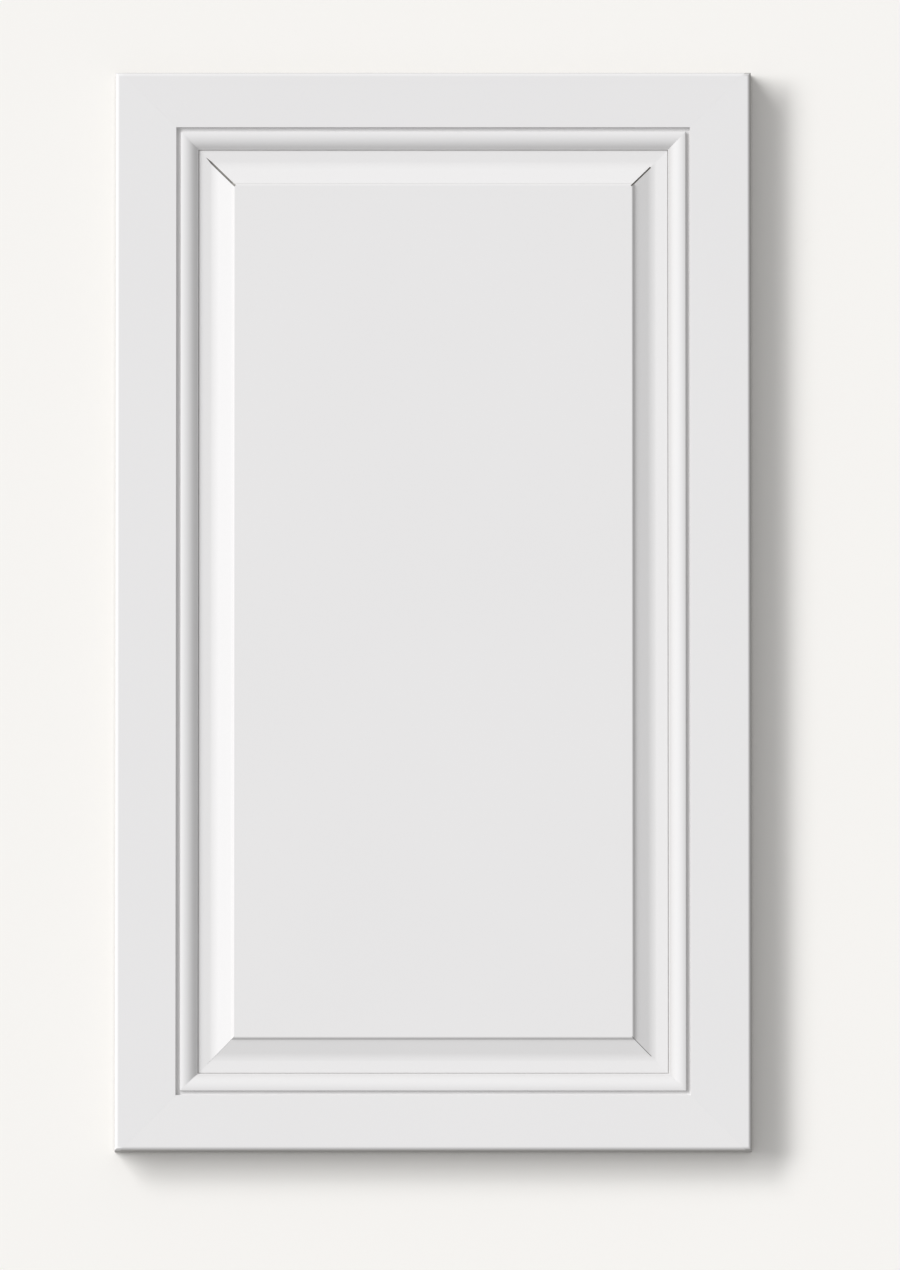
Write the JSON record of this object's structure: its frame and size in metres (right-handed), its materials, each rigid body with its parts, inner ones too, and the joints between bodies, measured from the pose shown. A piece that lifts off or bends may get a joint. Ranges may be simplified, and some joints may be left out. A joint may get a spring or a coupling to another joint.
{
  "type": "wainscot panel",
  "caption": "Painted raised wainscot panel: mitred frame with a quirk, bead and fillet on its inner edge, round a centre board raised by a cove, bevel and shoulder, for wall panelling.",
  "frame": {"origin": "centre of the flat back, which lies on the floor", "axes": "+X to the panel's right seen from the front, +Y up the panel as it hangs, +Z out of its face"},
  "size_m": [0.508, 0.864, 0.022],
  "materials": {
    "frame_paint": "satin white paint on wood",
    "panel_paint": "satin white paint on board"
  },
  "bodies": {
    "root": {"stile_left": "frame_paint", "stile_right": "frame_paint", "rail_top": "frame_paint", "rail_bottom": "frame_paint", "raised_panel": "panel_paint"}
  },
  "joints": []
}
